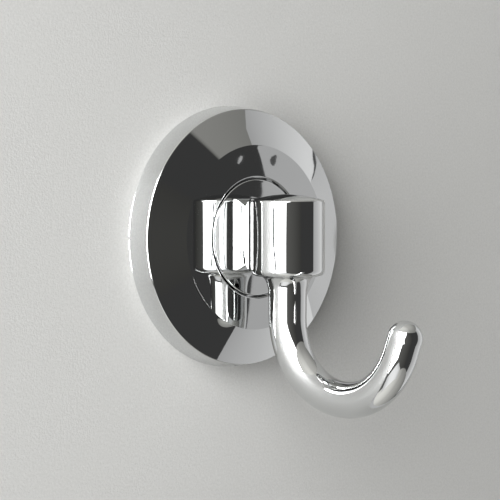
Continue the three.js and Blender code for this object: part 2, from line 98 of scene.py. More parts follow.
@dataclass
class Skin:
    """A closed surface: its points in millimetres and its faces.

    Attributes:
        points: Array of shape (n, 3).
        faces: Lists of point numbers, three or four to a face.
    """

    points: np.ndarray
    faces: list[list[int]]

    @classmethod
    def of_grid(cls, grid: np.ndarray, ring: bool = False) -> Skin:
        """Close a grid of points that already runs round in its second direction.

        Where the first direction doesn't close on itself, each end is drawn together in one middle point.

        Args:
            grid: Array of shape (rows, columns, 3).
            ring: True where the last row joins the first.

        Returns:
            The skin with its faces outwards.
        """
        rows, columns = grid.shape[:2]
        number = np.arange(rows * columns).reshape(rows, columns)
        here = number if ring else number[:-1]
        following = np.roll(number, -1, 0) if ring else number[1:]
        corners = [here, np.roll(here, -1, 1), np.roll(following, -1, 1), following]
        quads = np.stack(corners, -1).reshape(-1, 4)
        points = grid.reshape(-1, 3)
        faces = quads.tolist()
        if not ring:
            middles = np.stack([grid[0].mean(0), grid[-1].mean(0)])
            first, last = len(points), len(points) + 1
            points = np.concatenate([points, middles])
            start = np.stack([np.roll(number[0], -1), number[0], np.full(columns, first)], -1)
            end = np.stack([number[-1], np.roll(number[-1], -1), np.full(columns, last)], -1)
            faces = faces + start.tolist() + end.tolist()
        return cls(points, faces).outwards()

    def outwards(self) -> Skin:
        """Turn the faces round if the signed volume of the cones from the origin to each face is negative."""
        tri = np.array([[f[0], f[i], f[i + 1]] for f in self.faces for i in range(1, len(f) - 1)])
        a, b, c = (self.points[tri[:, i]] for i in range(3))
        if np.einsum("ij,ij->i", a, np.cross(b, c)).sum() < 0:
            self.faces = [f[::-1] for f in self.faces]
        return self

    def moved(self, x: float) -> Skin:
        """The same skin shifted sideways."""
        return Skin(self.points + np.array([x, 0, 0]), self.faces)

    def turned(self, degrees: float) -> Skin:
        """The same skin turned about the line through the origin square to the wall."""
        a = np.radians(degrees)
        turn = np.array([[np.cos(a), 0, np.sin(a)], [0, 1, 0], [-np.sin(a), 0, np.cos(a)]])
        return Skin(self.points @ turn.T, self.faces)

    def mesh(self, name: str) -> bpy.types.Mesh:
        """A Blender mesh of this skin, in metres."""
        mesh = bpy.data.meshes.new(name)
        mesh.from_pydata((self.points * MM).tolist(), [], self.faces)
        mesh.update()
        return mesh


def rounded(corners: Sequence[Corner], closed: bool = False, steps: int = 9, hold: float = 0.02) -> Outline:
    """An outline through corners, each rounded by its own radius.

    A corner with radius q between two sides that meet at the angle a starts its arc q / tan(a / 2) before the
    corner, and the arc's centre lies q / sin(a / 2) along the bisector. A point a little outside each end of
    the arc keeps the flat sides flat when the surface is shaded smoothly.

    Args:
        corners: Tuples of the two coordinates and the radius.
        closed: True where the last corner joins the first.
        steps: Points along each arc.
        hold: Distance of the holding points from the arc, in millimetres.

    Returns:
        Array of shape (n, 2).
    """
    places = np.array([c[:2] for c in corners], float)
    runs: list[np.ndarray] = []
    for i, (_, _, radius) in enumerate(corners):
        at = places[i]
        if radius <= 0 or (not closed and i in (0, len(corners) - 1)):
            runs.append(at[None])
            continue
        u, v = places[i - 1] - at, places[(i + 1) % len(corners)] - at
        u, v = u / np.linalg.norm(u), v / np.linalg.norm(v)
        half = np.arccos(np.clip(u @ v, -1, 1)) / 2
        reach = radius / np.tan(half)
        middle = at + (u + v) / np.linalg.norm(u + v) * radius / np.sin(half)
        start, end = at + u * reach - middle, at + v * reach - middle
        a0 = np.arctan2(start[1], start[0])
        sweep = (np.arctan2(end[1], end[0]) - a0 + np.pi) % (2 * np.pi) - np.pi
        a = a0 + sweep * np.linspace(0, 1, steps)
        bow = middle + radius * np.stack([np.cos(a), np.sin(a)], -1)
        runs.append(np.concatenate([[bow[0] + u * hold], bow, [bow[-1] + v * hold]]))
    return np.concatenate(runs)


def revolve(outline: Outline, axis: Axis = Axis.OUT, depth: float = 0.0, segments: int = 240) -> np.ndarray:
    """Turn an outline: each point (r, h) becomes the circle r * (cos t, sin t) at height h along the axis.

    Args:
        outline: Array of shape (n, 2) of radius and height along the axis.
        axis: The axis; on the axis square to the wall the height is the depth.
        depth: Depth of an upright axis.
        segments: Points round each circle.

    Returns:
        Grid of shape (n, segments, 3).
    """
    t = np.linspace(0, 2 * np.pi, segments, endpoint=False)
    r, h = outline[:, :1], outline[:, 1:] + 0 * t
    if axis is Axis.OUT:
        return np.stack([r * np.cos(t), -h, r * np.sin(t)], -1)
    return np.stack([r * np.cos(t), r * np.sin(t) - depth, h], -1)


def slab(low: Sequence[float], high: Sequence[float], radius: float = 0.0) -> Skin:
    """A block between two corners (x, depth, z), with its four edges along the depth rounded.

    Args:
        low: Lowest x, depth and z.
        high: Highest x, depth and z.
        radius: Radius of the four edges, 0 for sharp ones.

    Returns:
        The closed skin.
    """
    (left, start, bottom), (right, end, top) = low, high
    ring = [(left, bottom, radius), (right, bottom, radius), (right, top, radius), (left, top, radius)]
    outline = rounded(ring, closed=True)
    return loft([(start, outline), (end, outline)])


def loft(rings: Sequence[tuple[float, Outline]]) -> Skin:
    """A solid through outlines of (x, z), one at each depth, joined by straight sides.

    Args:
        rings: Depths with outlines of equal length.

    Returns:
        The closed skin.
    """
    return Skin.of_grid(np.stack([np.stack([o[:, 0], np.full(len(o), -d), o[:, 1]], -1) for d, o in rings]))


def prism(sides: int, flats: float, start: float, end: float, axis: Axis, depth: float) -> Skin:
    """A straight bar with equal sides, such as a hexagon key, by its width across flats."""
    r = flats / 2 / np.cos(np.pi / sides)
    return Skin.of_grid(revolve(np.array([[r, start], [r, end]]), axis, depth, sides))


def thread(radius: float, cut: float, pitch: float, start: float, end: float, axis: Axis, depth: float = 0.0,
           point: float = 0.0) -> np.ndarray:
    """A screw thread: the radius falls by a triangle wave of height / pitch - angle / 360, fading at both ends.

    Args:
        radius: Outer radius.
        cut: Depth of the thread.
        pitch: Distance between crests.
        start: Height where the thread begins.
        end: Height where it ends.
        axis: Axis of the screw.
        depth: Depth of an upright axis.
        point: Length of a cone at the start, 0 for none.

    Returns:
        Grid of shape (n, SMALL_SEGMENTS, 3).
    """
    rows = max(FADE_ROWS, int(abs(end - start) / pitch * ROWS_PER_TURN))
    h = np.linspace(start, end, rows)[:, None]
    t = np.linspace(0, 2 * np.pi, SMALL_SEGMENTS, endpoint=False)[None]
    wave = np.abs(((h / pitch - t / (2 * np.pi)) % 1.0) * 2 - 1)
    share = np.linspace(0, 1, rows)[:, None]
    fade = np.clip(np.minimum(share, 1 - share) * rows / FADE_ROWS, 0, 1)
    taper = np.clip(np.abs(h - start) / point, POINT_SHARE, 1) if point else 1.0
    r = (radius - cut * wave * fade) * taper
    if axis is Axis.OUT:
        return np.stack([r * np.cos(t), -h + 0 * t, r * np.sin(t)], -1)
    return np.stack([r * np.cos(t), r * np.sin(t) - depth, h + 0 * t], -1)


# Finishes


def linear(colour: str) -> tuple[float, float, float, float]:
    """An sRGB hex colour such as "#C8CACC" as linear red, green, blue and an alpha of 1."""
    s = np.array([int(colour[i:i + 2], 16) for i in (1, 3, 5)]) / 255
    return (*np.where(s <= 0.04045, s / 12.92, ((s + 0.055) / 1.055) ** 2.4).tolist(), 1.0)


def node(tree: bpy.types.NodeTree, kind: str, inputs: dict[Any, Any] | None = None,
         **settings: Any) -> bpy.types.Node:
    """Add a node.

    Args:
        tree: The node tree.
        kind: Blender's name of the node's type.
        inputs: Values or output sockets by input name or number.
        settings: Properties of the node itself.

    Returns:
        The new node.
    """
    made = tree.nodes.new(kind)
    for name, value in settings.items():
        setattr(made, name, value)
    for key, value in (inputs or {}).items():
        if isinstance(value, bpy.types.NodeSocket):
            tree.links.new(value, made.inputs[key])
        else:
            made.inputs[key].default_value = value
    return made


def noise(tree: bpy.types.NodeTree, where: bpy.types.NodeSocket, size_mm: float, detail: float,
          roughness: float = 0.5) -> bpy.types.NodeSocket:
    """A noise pattern.

    Args:
        tree: The node tree.
        where: Object coordinates.
        size_mm: Size of the pattern.
        detail: How many finer patterns are laid over it.
        roughness: How strong those are.

    Returns:
        The pattern's level, from 0 to 1.
    """
    made = node(tree, "ShaderNodeTexNoise", {"Vector": where, "Scale": 1 / (size_mm * MM), "Detail": detail,
                                             "Roughness": roughness})
    return made.outputs["Fac"]


def ramp(tree: bpy.types.NodeTree, factor: bpy.types.NodeSocket,
         stops: Sequence[tuple[float, Any]]) -> bpy.types.NodeSocket:
    """A colour ramp through the given stops.

    Args:
        tree: The node tree.
        factor: What drives the ramp.
        stops: Places from 0 to 1 with a grey level or a linear colour each.

    Returns:
        The ramp's colour socket.
    """
    made = node(tree, "ShaderNodeValToRGB", {0: factor})
    elements = made.color_ramp.elements
    while len(elements) < len(stops):
        elements.new(0.5)
    for element, (place, value) in zip(elements, stops):
        element.position = place
        element.color = value if isinstance(value, tuple) else (value, value, value, 1)
    return made.outputs["Color"]


@dataclass(frozen=True)
class Finish:
    """A finish that wraps a Principled surface.

    Attributes:
        name: Name of the real material.
        slot: The record's material slot.
        colour: sRGB hex colour.
        metallic: 1 for bare or plated metal, 0 for the rest.
        roughness: Mean roughness.
        grain_mm: Size of the surface's grain.
        bump_mm: Height of that grain.
        spread: How far the roughness wanders either way.
        tint: How far the colour wanders towards the darker shade, from 0 to 1.
        shade: The darker colour that the pattern mixes in.
    """

    name: str
    slot: str
    colour: str
    metallic: float
    roughness: float
    grain_mm: float
    bump_mm: float
    spread: float
    tint: float
    shade: str

    def start(self) -> tuple[bpy.types.Material, bpy.types.NodeTree, bpy.types.Node, bpy.types.NodeSocket]:
        """A new material with its tree, its Principled node and its Object coordinates."""
        material = bpy.data.materials.new(self.name)
        material.use_nodes = True
        tree = material.node_tree
        shader = tree.nodes["Principled BSDF"]
        shader.inputs["Metallic"].default_value = self.metallic
        where = node(tree, "ShaderNodeTexCoord").outputs["Object"]
        return material, tree, shader, where

    def material(self) -> bpy.types.Material:
        """The finish as a material: grain in the bump, wandering roughness and a mottled colour."""
        material, tree, shader, where = self.start()
        grain = noise(tree, where, self.grain_mm, 3.0)
        cloud = noise(tree, where, CLOUD_GRAINS * self.grain_mm, 2.0)
        low, high = ROUGHNESS_LEVELS
        rough = node(tree, "ShaderNodeMapRange", {"Value": cloud, "From Min": low, "From Max": high,
                                                  "To Min": max(0.0, self.roughness - self.spread),
                                                  "To Max": self.roughness + self.spread})
        mixed = ramp(tree, cloud, tuple(zip(COLOUR_LEVELS, (self.mix(self.tint), linear(self.colour)))))
        bump = node(tree, "ShaderNodeBump", {"Height": grain, "Strength": 1.0, "Distance": self.bump_mm * MM})
        tree.links.new(rough.outputs["Result"], shader.inputs["Roughness"])
        tree.links.new(mixed, shader.inputs["Base Color"])
        tree.links.new(bump.outputs["Normal"], shader.inputs["Normal"])
        return material

    def mix(self, share: float) -> tuple[float, float, float, float]:
        """The colour with a share of the darker shade mixed in."""
        a, b = np.array(linear(self.colour)), np.array(linear(self.shade))
        return tuple((a * (1 - share) + b * share).tolist())


# Bright chrome plated over polished brass: an even neutral mirror with hardly any waviness.
CHROME = Finish(
    "bright_chrome_plate", "chrome", "#D9DADA", metallic=1.0, roughness=0.020, grain_mm=3.0, bump_mm=0.0003,
    spread=0.010, tint=0.10, shade="#BFC1C0")
# Zinc plate on pressed steel: a dull spangled grey that turns cloudy by handling.
ZINC = Finish(
    "zinc_plated_pressed_steel", "zinc_plate", "#B9BBB8", metallic=1.0, roughness=0.36, grain_mm=0.5,
    bump_mm=0.0015, spread=0.07, tint=0.5, shade="#8E918F")
# Bare steel of bought screws and washers: cold-headed, with a slight oil darkening.
STEEL = Finish(
    "plain_cold_headed_steel", "plain_steel", "#A9ABAD", metallic=1.0, roughness=0.28, grain_mm=0.35,
    bump_mm=0.0015, spread=0.06, tint=0.4, shade="#7C7E80")
# Blackened socket screw: oxide with a soft oily sheen.
BLACKENED = Finish(
    "blackened_socket_screw_steel", "black_steel", "#46474A", metallic=1.0, roughness=0.42, grain_mm=0.25,
    bump_mm=0.003, spread=0.08, tint=0.5, shade="#2B2C2E")
# Moulded nylon of wall plugs: milky grey with a soft mould texture.
NYLON = Finish(
    "moulded_nylon", "nylon", "#C9C7BF", metallic=0.0, roughness=0.52, grain_mm=0.4, bump_mm=0.01, spread=0.08,
    tint=0.35, shade="#B3B0A6")


class Bench:
    """Turns skins into dressed pieces that ride on the part's bodies."""

    def __init__(self) -> None:
        """Make every finish once."""
        self.materials = {f.slot: f.material() for f in (CHROME, ZINC, STEEL, BLACKENED, NYLON)}

    def piece(self, name: str, skin: Skin, finish: Finish, body: str, nodes: Sequence[str],
              work: Sequence[tuple[Shaping, Skin]] = ()) -> bpy.types.Object:
        """Make a piece that stands for CAD nodes.

        Args:
            name: Name of the new object.
            skin: Its surface.
            finish: Its finish.
            body: The body that it moves with.
            nodes: The CAD nodes that it replaces.
            work: Solids to join to it or cut from it, in order.

        Returns:
            The finished object at the origin.
        """
        made = bpy.data.objects.new(name, skin.mesh(name))
        bpy.context.scene.collection.objects.link(made)
        for shaping, tool in work:
            self.shape(made, shaping, tool)
        mesh = made.data
        mesh.materials.clear()
        mesh.materials.append(self.materials[finish.slot])
        mesh.polygons.foreach_set("material_index", np.zeros(len(mesh.polygons), np.int32))
        mesh.shade_smooth()
        mesh.set_sharp_from_angle(angle=np.radians(SHARP_DEGREES))
        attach(made, body)
        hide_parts(*nodes)
        log.info("%s: %d faces, rides on %s", name, len(mesh.polygons), body)
        return made

    def shape(self, made: bpy.types.Object, shaping: Shaping, tool: Skin) -> None:
        """Join a solid to a piece or cut it from it, and keep the result as the piece's own mesh."""
        cutter = bpy.data.objects.new("tool", tool.mesh("tool"))
        bpy.context.scene.collection.objects.link(cutter)
        step = made.modifiers.new("shape", "BOOLEAN")
        step.operation, step.object, step.solver = shaping.value, cutter, "EXACT"
        result = bpy.data.meshes.new_from_object(made.evaluated_get(bpy.context.evaluated_depsgraph_get()))
        made.modifiers.clear()
        made.data = result
        bpy.data.objects.remove(cutter)

    def dress(self, nodes: dict[str, bpy.types.Object], names: Sequence[str], finish: Finish) -> None:
        """Give carried-over CAD nodes a finish."""
        for name in names:
            nodes[name].data.materials.clear()
            nodes[name].data.materials.append(self.materials[finish.slot])
            log.info("%s: CAD node dressed in %s", name, finish.name)


# Sub-assemblies


@dataclass
class Rose:
    """The round cover with its tapered rim, cone bevel and flat face, hollow behind."""

    back_radius: float = 27.5
    rim_front_radius: float = 26.75
    rim_depth: float = 4.85
    rim_edge: float = 0.36
    foot_depth: float = 0.07
    foot_step: float = 0.035
    foot_edge: float = 0.03
    bevel_inner_radius: float = 19.15
    face_depth: float = 8.1
    face_edge: float = 0.25
    hub_hole: float = 12.5
    seat_depth: float = 6.4
    spigot_hole: float = 6.15
    web_back: float = 5.0
    web_collar: float = 14.25
    collar_edge: float = 0.3
    collar_fillet: float = 0.4
    shell_fillet: float = 0.6
    back_edge: float = 0.2
    wall: float = 1.8
    pad_inner: float = 22.8
    pad_back: float = 0.4
    pad_edge: float = 0.25
    boss_width: float = 7.0
    lug_width: float = 3.0
    lug_angle: float = 120.0
    grub_hole: float = 1.65
    grub_hole_top: float = -22.5

    def outline(self) -> Outline:
        """The closed section: rim, bevel, face, seat for the hub, web and the hollow back."""
        slope = (self.face_depth - self.rim_depth) / (self.rim_front_radius - self.bevel_inner_radius)
        drop = self.wall * np.hypot(1, slope)
        ceiling = self.face_depth - self.wall
        inner_rim = self.rim_front_radius - self.wall
        ceiling_r = self.rim_front_radius - (ceiling - self.rim_depth + drop) / slope
        inner_depth = self.rim_depth - drop + (self.rim_front_radius - inner_rim) * slope
        return rounded([
            (self.back_radius, 0, 0), (self.back_radius - self.foot_step, self.foot_depth, self.foot_edge),
            (self.rim_front_radius, self.rim_depth, self.rim_edge),
            (self.bevel_inner_radius, self.face_depth, self.face_edge),
            (self.hub_hole, self.face_depth, self.face_edge),
            (self.hub_hole, self.seat_depth, 0), (self.spigot_hole, self.seat_depth, 0),
            (self.spigot_hole, self.web_back, self.back_edge),
            (self.web_collar, self.web_back, self.collar_edge),
            (self.web_collar, ceiling, self.collar_fillet), (ceiling_r, ceiling, self.shell_fillet),
            (inner_rim, inner_depth, self.shell_fillet), (self.back_radius - self.wall, 0, self.back_edge)],
            closed=True)

    def pad(self, width: float) -> Skin:
        """A pad inside the rim, at the bottom."""
        reach = -self.rim_front_radius + self.wall / 2
        low, high = (-width / 2, self.pad_back, reach), (width / 2, self.rim_depth, -self.pad_inner)
        return slab(low, high, self.pad_edge)

    def build(self, bench: Bench) -> None:
        """Make the rose with its lugs, boss and grub screw hole."""
        side = np.array([[self.grub_hole, -self.back_radius - OVERRUN], [self.grub_hole, self.grub_hole_top]])
        hole = Skin.of_grid(revolve(side, Axis.UPRIGHT, self.rim_depth / 2, SMALL_SEGMENTS))
        lugs = [self.pad(self.lug_width).turned(angle) for angle in (self.lug_angle, -self.lug_angle)]
        pads = [self.pad(self.boss_width), *lugs]
        work = [*((Shaping.JOIN, pad) for pad in pads), (Shaping.CUT, hole)]
        skin = Skin.of_grid(revolve(self.outline()), ring=True)
        bench.piece("rose_shell", skin, CHROME, HOOK, ["rose"], work)


@dataclass
class HubAndBarrel:
    """The disc set flush in the rose's face with its post, and the barrel whose foot sits over the post."""

    disc_radius: float = 12.1
    disc_edge: float = 0.3
    face_depth: float = 8.1
    seat_depth: float = 6.4
    spigot_radius: float = 6.0
    spigot_back: float = 5.15
    spigot_edge: float = 0.2
    bore: float = 2.15
    post_width: float = 5.8
    post_bottom: float = -5.3
    post_top: float = 6.0
    post_corner: float = 1.5
    post_root: float = 0.5
    slot_depth: float = 10.43
    fit: float = 0.15
    hairline: float = 0.03
    axis_depth: float = 17.2
    radius: float = 7.55
    bottom: float = -7.65
    top: float = 9.0
    crown_radius: float = 22.0
    crown_points: int = 24
    top_edge: float = 0.45
    bottom_edge: float = 1.3
    edge_points: int = 15
    foot_half: float = 3.43
    foot_bottom: float = -5.84
    foot_top: float = 6.56
    foot_corner: float = 0.4
    flare_depth: float = 2.85
    flare_side: float = 0.82
    flare_bottom: float = 1.19
    flare_top: float = 1.58
    flare_shares: tuple[float, ...] = (0, 0.08, 0.16, 0.25, 0.35, 0.46, 0.58, 0.7, 0.85, 1.0)
    foot_end: float = 0.6
    foot_end_swell: float = 0.85

    def post(self, grow: float, start: float, end: float) -> Skin:
        """The upright oblong of the post, with a clearance all round, between two depths."""
        half = self.post_width / 2 + grow
        low, high = self.post_bottom - grow, self.post_top + grow
        return slab((-half, start, low), (half, end, high), self.post_corner + grow)

    def foot(self) -> Skin:
        """The foot: a block that swells by 1 - (1 - s)^2, with s the share of the depth from face to barrel.

        Its far end lies inside the barrel, at foot_end of the radius behind the barrel's axis.
        """
        rings = []
        for share in self.flare_shares:
            depth = self.face_depth + self.hairline + (self.flare_depth - self.hairline) * share
            rings.append((depth, 1 - (1 - share) ** 2))
        rings.append((self.axis_depth - self.radius * self.foot_end, self.foot_end_swell))
        outlines = []
        for depth, swell in rings:
            half = self.foot_half + self.flare_side * swell
            low, high = self.foot_bottom - self.flare_bottom * swell, self.foot_top + self.flare_top * swell
            corners = [(-half, low), (half, low), (half, high), (-half, high)]
            outlines.append((depth, rounded([(x, z, self.foot_corner) for x, z in corners], closed=True)))
        return loft(outlines)

    def side(self) -> Outline:
        """The barrel's outline: a rounded bottom edge, an upright side and a top crowned as top - r^2 / (2 R).

        The two points of the crown next to its edge are left out, to make room for the edge's arc.
        """
        r = np.linspace(self.radius, AXIS_RADIUS, self.crown_points)
        crown = [(float(x), float(self.top - x ** 2 / (2 * self.crown_radius)), 0.0) for x in r]
        crown[0] = (*crown[0][:2], self.top_edge)
        base = [(AXIS_RADIUS, self.bottom, 0), (self.radius, self.bottom, self.bottom_edge)]
        return rounded([*base, crown[0], *crown[3:]], steps=self.edge_points)

    def build(self, bench: Bench) -> None:
        """Turn the disc and join its post, turn the barrel, join its foot and cut the slot for the post."""
        disc = rounded([
            (self.bore, self.spigot_back, 0), (self.spigot_radius, self.spigot_back, self.spigot_edge),
            (self.spigot_radius, self.seat_depth, 0), (self.disc_radius, self.seat_depth, 0),
            (self.disc_radius, self.face_depth, self.disc_edge), (self.bore, self.face_depth, 0)], closed=True)
        post = self.post(0, self.face_depth - self.post_root, self.slot_depth - self.fit)
        hub = Skin.of_grid(revolve(disc), ring=True)
        bench.piece("hub_disc", hub, CHROME, HOOK, ["hub_post"], [(Shaping.JOIN, post)])
        barrel = Skin.of_grid(revolve(self.side(), Axis.UPRIGHT, self.axis_depth))
        slot = self.post(self.fit, self.face_depth - OVERRUN, self.slot_depth)
        work = [(Shaping.JOIN, self.foot()), (Shaping.CUT, slot)]
        bench.piece("upright_barrel", barrel, CHROME, HOOK, ["barrel"], work)


@dataclass
class HookArm:
    """The J-shaped rod: a straight drop, a quarter ellipse out, an arc up, a straight end and a round tip."""

    axis_depth: float = 17.2
    top: float = -7.7
    drop: float = 8.4
    reach: float = 16.25
    sag: float = 15.4
    rise_radius: float = 15.95
    rise_angle: float = 69.3
    end_length: float = 3.1
    root_radius: float = 3.95
    bend_radius: float = 3.64
    tip_radius: float = 3.445
    collar_radius: float = 5.6
    collar_height: float = 3.8
    run_points: int = 400
    stations: int = 360
    tip_points: int = 40
    around: int = 96

    def line(self) -> np.ndarray:
        """The centre line in depth and height, as even steps along four runs laid end to end."""
        s = np.linspace(0, 1, self.run_points)
        low = self.top - self.drop
        a, b = s * np.pi / 2, s * np.radians(self.rise_angle)
        runs = [
            np.stack([np.full_like(s, self.axis_depth), self.top - self.drop * s], -1),
            np.stack([self.axis_depth + self.reach * (1 - np.cos(a)), low - self.sag * np.sin(a)], -1),
            np.stack([self.axis_depth + self.reach + self.rise_radius * np.sin(b),
                      low - self.sag + self.rise_radius * (1 - np.cos(b))], -1)]
        along = np.array([np.cos(b[-1]), np.sin(b[-1])])
        runs.append(runs[-1][-1] + along * self.end_length * s[:, None])
        path = np.concatenate([runs[0]] + [run[1:] for run in runs[1:]])
        length = np.concatenate([[0], np.cumsum(np.linalg.norm(np.diff(path, axis=0), axis=1))])
        even = np.linspace(0, length[-1], self.stations)
        return np.stack([np.interp(even, length, path[:, i]) for i in (0, 1)], -1)

    def build(self, bench: Bench) -> None:
        """Carry a circle along the line: its radius thins to the tip and flares by 1 - sqrt(1 - x^2) on top."""
        line = self.line()
        step = np.gradient(line, axis=0)
        along = step / np.linalg.norm(step, axis=1)[:, None]
        length = np.concatenate([[0], np.cumsum(np.linalg.norm(np.diff(line, axis=0), axis=1))])
        share = length / length[-1]
        radius = np.interp(share, [0, 0.5, 1], [self.root_radius, self.bend_radius, self.tip_radius])
        x = np.clip(1 - length / self.collar_height, 0, 1)
        radius = radius + (self.collar_radius - self.root_radius) * (1 - np.sqrt(1 - x ** 2))
        a = np.linspace(0, np.pi / 2, self.tip_points)[1:-1]
        centres = np.concatenate([line, line[-1] + along[-1] * (self.tip_radius * np.sin(a))[:, None]])
        ways = np.concatenate([along, np.repeat(along[-1:], len(a), 0)])
        radii = np.concatenate([radius, self.tip_radius * np.cos(a)])
        t = np.linspace(0, 2 * np.pi, self.around, endpoint=False)
        out, up = -ways[:, 1:], ways[:, :1]
        across = radii[:, None] * np.sin(t)
        depth, height = centres[:, :1] + out * across, centres[:, 1:] + up * across
        grid = np.stack([radii[:, None] * np.cos(t), -depth, height], -1)
        bench.piece("j_arm", Skin.of_grid(grid), CHROME, HOOK, ["hook_arm"])


@dataclass
class WallBracket:
    """The pressed plate on the wall, with its rim turned forward and two upright slots."""

    radius: float = 22.5
    thickness: float = 1.5
    rim_height: float = 4.0
    rim_thickness: float = 1.5
    back_edge: float = 1.0
    lip_edge: float = 0.3
    inner_fillet: float = 0.8
    slot_spacing: float = 28.0
    slot_length: float = 9.0
    slot_radius: float = 2.35
    slot_flat: float = 0.06
    slot_cut: float = 3.0

    def build(self, bench: Bench) -> None:
        """Turn the plate and cut the slots, whose ends keep a short flat so that no arc meets the next."""
        inner = self.radius - self.rim_thickness
        outline = rounded([
            (AXIS_RADIUS, 0, 0), (self.radius, 0, self.back_edge),
            (self.radius, self.rim_height, self.lip_edge),
            (inner, self.rim_height, self.lip_edge), (inner, self.thickness, self.inner_fillet),
            (AXIS_RADIUS, self.thickness, 0)])
        half = self.slot_length / 2
        slots = []
        for side in (-1, 1):
            x = side * self.slot_spacing / 2
            low, high = (x - self.slot_radius, -OVERRUN, -half), (x + self.slot_radius, self.slot_cut, half)
            slots.append(slab(low, high, self.slot_radius - self.slot_flat))
        bench.piece("pressed_bracket", Skin.of_grid(revolve(outline)), ZINC, BRACKET, ["wall_bracket"],
                    [(Shaping.CUT, slot) for slot in slots])


@dataclass
class WallFixing:
    """One wall screw in its plug."""

    side: int
    name: str
    spacing: float = 28.0
    seat: float = 1.5
    head_radius: float = 3.7
    head_height: float = 2.0
    head_edge: float = 0.1
    dome_share: float = 0.75
    dome_points: int = 14
    shank_radius: float = 1.75
    length: float = 25.0
    point: float = 5.0
    neck: float = 0.2
    thread_cut: float = 0.4
    thread_pitch: float = 1.4
    cross_length: float = 3.6
    cross_width: float = 0.9
    cross_depth: float = 1.1
    cross_edge: float = 0.1
    plug_radius: float = 3.0
    lip_radius: float = 3.6
    lip_length: float = 0.8
    plug_start: float = -0.3
    plug_length: float = 26.0
    plug_tip: float = 2.5
    plug_tip_edge: float = 0.3
    bore_gap: float = 0.15
    bore_edge: float = 0.1
    lip_edge: float = 0.15
    ribs: int = 6
    rib_height: float = 0.3
    rib_edge: float = 0.06
    rib_run: float = 0.65
    edge_points: int = 5
    plug_segments: int = 96
    slit_width: float = 0.8
    slit_length: float = 17.0
    slit_half_height: float = 5.0

    def build(self, bench: Bench) -> None:
        """Make the screw and the plug."""
        x = self.side * self.spacing / 2
        top = self.seat + self.head_height
        a = np.linspace(0, np.pi / 2, self.dome_points)
        base = self.seat + (1 - self.dome_share) * self.head_height
        rise = self.dome_share * self.head_height * np.sin(a)
        dome = np.stack([self.head_radius * np.cos(a), base + rise], -1)[:-1]
        brim = [[self.shank_radius, self.seat], [self.head_radius - self.head_edge, self.seat],
                [self.head_radius, self.seat + self.head_edge]]
        head = np.concatenate([brim, dome, [[AXIS_RADIUS, top]]])
        shank = thread(self.shank_radius, self.thread_cut, self.thread_pitch, self.seat - self.length,
                       self.seat - self.neck, Axis.OUT, point=self.point)
        grid = np.concatenate([shank, revolve(head, segments=SMALL_SEGMENTS)])
        bars = [slab((-w / 2, top - self.cross_depth, -h / 2), (w / 2, top + OVERRUN, h / 2), self.cross_edge)
                for w, h in ((self.cross_length, self.cross_width), (self.cross_width, self.cross_length))]
        bench.piece(f"screw_{self.name}", Skin.of_grid(grid).moved(x), STEEL, BRACKET,
                    [f"wall_screw_{self.name}"], [(Shaping.CUT, bar.moved(x)) for bar in bars])
        self.build_plug(bench, x)

    def build_plug(self, bench: Bench, x: float) -> None:
        """Make the plug: a lip, ribs like a row of leaning teeth, a bore and a slit across its end."""
        bore = self.shank_radius + self.bore_gap
        end = self.plug_start - self.plug_length
        ribs_start = self.plug_start - self.lip_length
        ribs_end = self.plug_start - self.plug_length * self.rib_run
        fronts = ribs_start + (ribs_end - ribs_start) * np.arange(self.ribs) / self.ribs
        pitch = (ribs_end - ribs_start) / self.ribs
        valley = self.plug_radius - self.rib_height
        teeth: list[Corner] = []
        for front in fronts:
            teeth += [(valley, front, 0.0), (self.plug_radius, front + pitch, self.rib_edge)]
        outline = rounded([
            (bore, self.plug_start, self.bore_edge), (self.lip_radius, self.plug_start, self.lip_edge),
            (self.lip_radius, ribs_start, self.lip_edge), *teeth, (valley, ribs_end, 0),
            (self.plug_tip, end, self.plug_tip_edge), (bore, end, self.bore_edge)],
            closed=True, steps=self.edge_points)
        skin = Skin.of_grid(revolve(outline, segments=self.plug_segments), ring=True).moved(x)
        slit = slab((x - self.slit_width / 2, end - OVERRUN, -self.slit_half_height),
                    (x + self.slit_width / 2, end + self.slit_length, self.slit_half_height))
        bench.piece(f"plug_{self.name}", skin, NYLON, BRACKET, [f"wall_plug_{self.name}"],
                    [(Shaping.CUT, slit)])


@dataclass
class GrubScrew:
    """The socket set screw in the underside of the rim."""

    radius: float = 1.5
    depth: float = 2.425
    bottom: float = -26.8
    top: float = -22.8
    point_chamfer: float = 0.6
    socket_sides: int = 6
    socket: float = 1.5
    socket_depth: float = 1.6
    pitch: float = 0.5
    thread_cut: float = 0.22

    def build(self, bench: Bench) -> None:
        """Make the threaded body with its hexagon socket."""
        neck = self.top - self.point_chamfer
        body = thread(self.radius, self.thread_cut, self.pitch, self.bottom, neck, Axis.UPRIGHT, self.depth)
        tip = np.array([[self.radius - self.point_chamfer, self.top], [AXIS_RADIUS, self.top]])
        point = revolve(tip, Axis.UPRIGHT, self.depth, SMALL_SEGMENTS)
        key = prism(self.socket_sides, self.socket, self.bottom - OVERRUN, self.bottom + self.socket_depth,
                    Axis.UPRIGHT, self.depth)
        bench.piece("set_screw", Skin.of_grid(np.concatenate([body, point])), BLACKENED, GRUB, ["grub_screw"],
                    [(Shaping.CUT, key)])


# Stage


